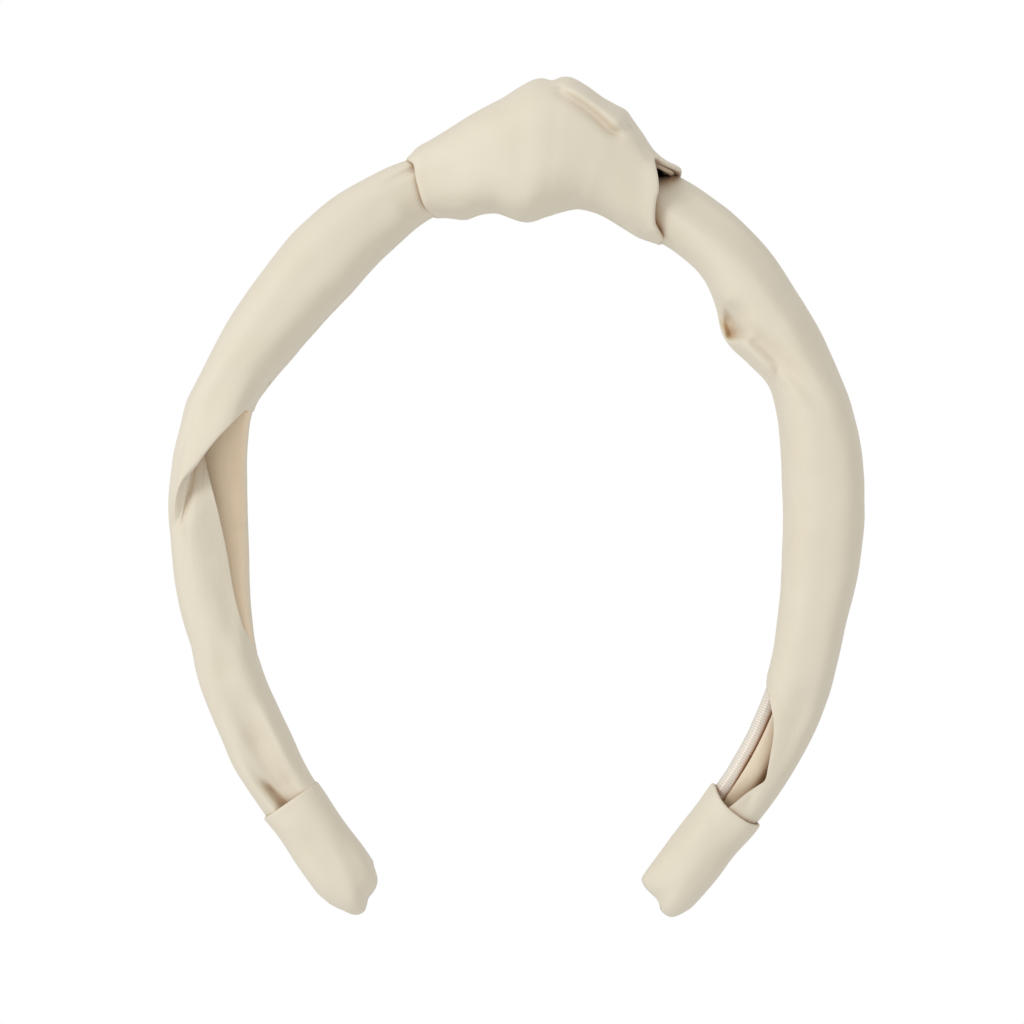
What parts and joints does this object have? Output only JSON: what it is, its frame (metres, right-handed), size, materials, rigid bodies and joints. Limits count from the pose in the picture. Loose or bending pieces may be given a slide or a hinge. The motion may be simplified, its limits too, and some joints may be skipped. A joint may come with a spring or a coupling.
{
  "type": "knotted headband",
  "caption": "Sprung hoop headband wound with satin, sheathed in pleated cloth covers with an off-centre top knot and folded end caps.",
  "frame": {"origin": "centre of the crown's half circle, to the middle of the hoop's thickness, half way through the depth", "axes": "+Z to the crown of the head, +X to the wearer's left as the front view shows it on the right, -Y to the front"},
  "size_m": [0.1354, 0.0364, 0.1611],
  "materials": {
    "hoop_plastic": "moulded, plain",
    "satin_ribbon": "glossy satin weave with fine cross ribs",
    "cover_cloth": "smooth semi-matte cloth, ivory beige",
    "knot_cloth": "smooth semi-matte cloth, ivory beige",
    "cap_cloth": "smooth semi-matte cloth, folded and pressed",
    "hot_melt_glue": "set glue, hidden"
  },
  "bodies": {
    "root": {"hoop_core": "hoop_plastic", "satin_ribbon": "satin_ribbon", "left_cover": "cover_cloth", "right_cover": "cover_cloth", "knot_wrap": "knot_cloth", "knot_inner_turn": "knot_cloth", "left_end_cap": "cap_cloth", "right_end_cap": "cap_cloth", "left_cap_glue": "hot_melt_glue", "right_cap_glue": "hot_melt_glue"}
  },
  "joints": []
}
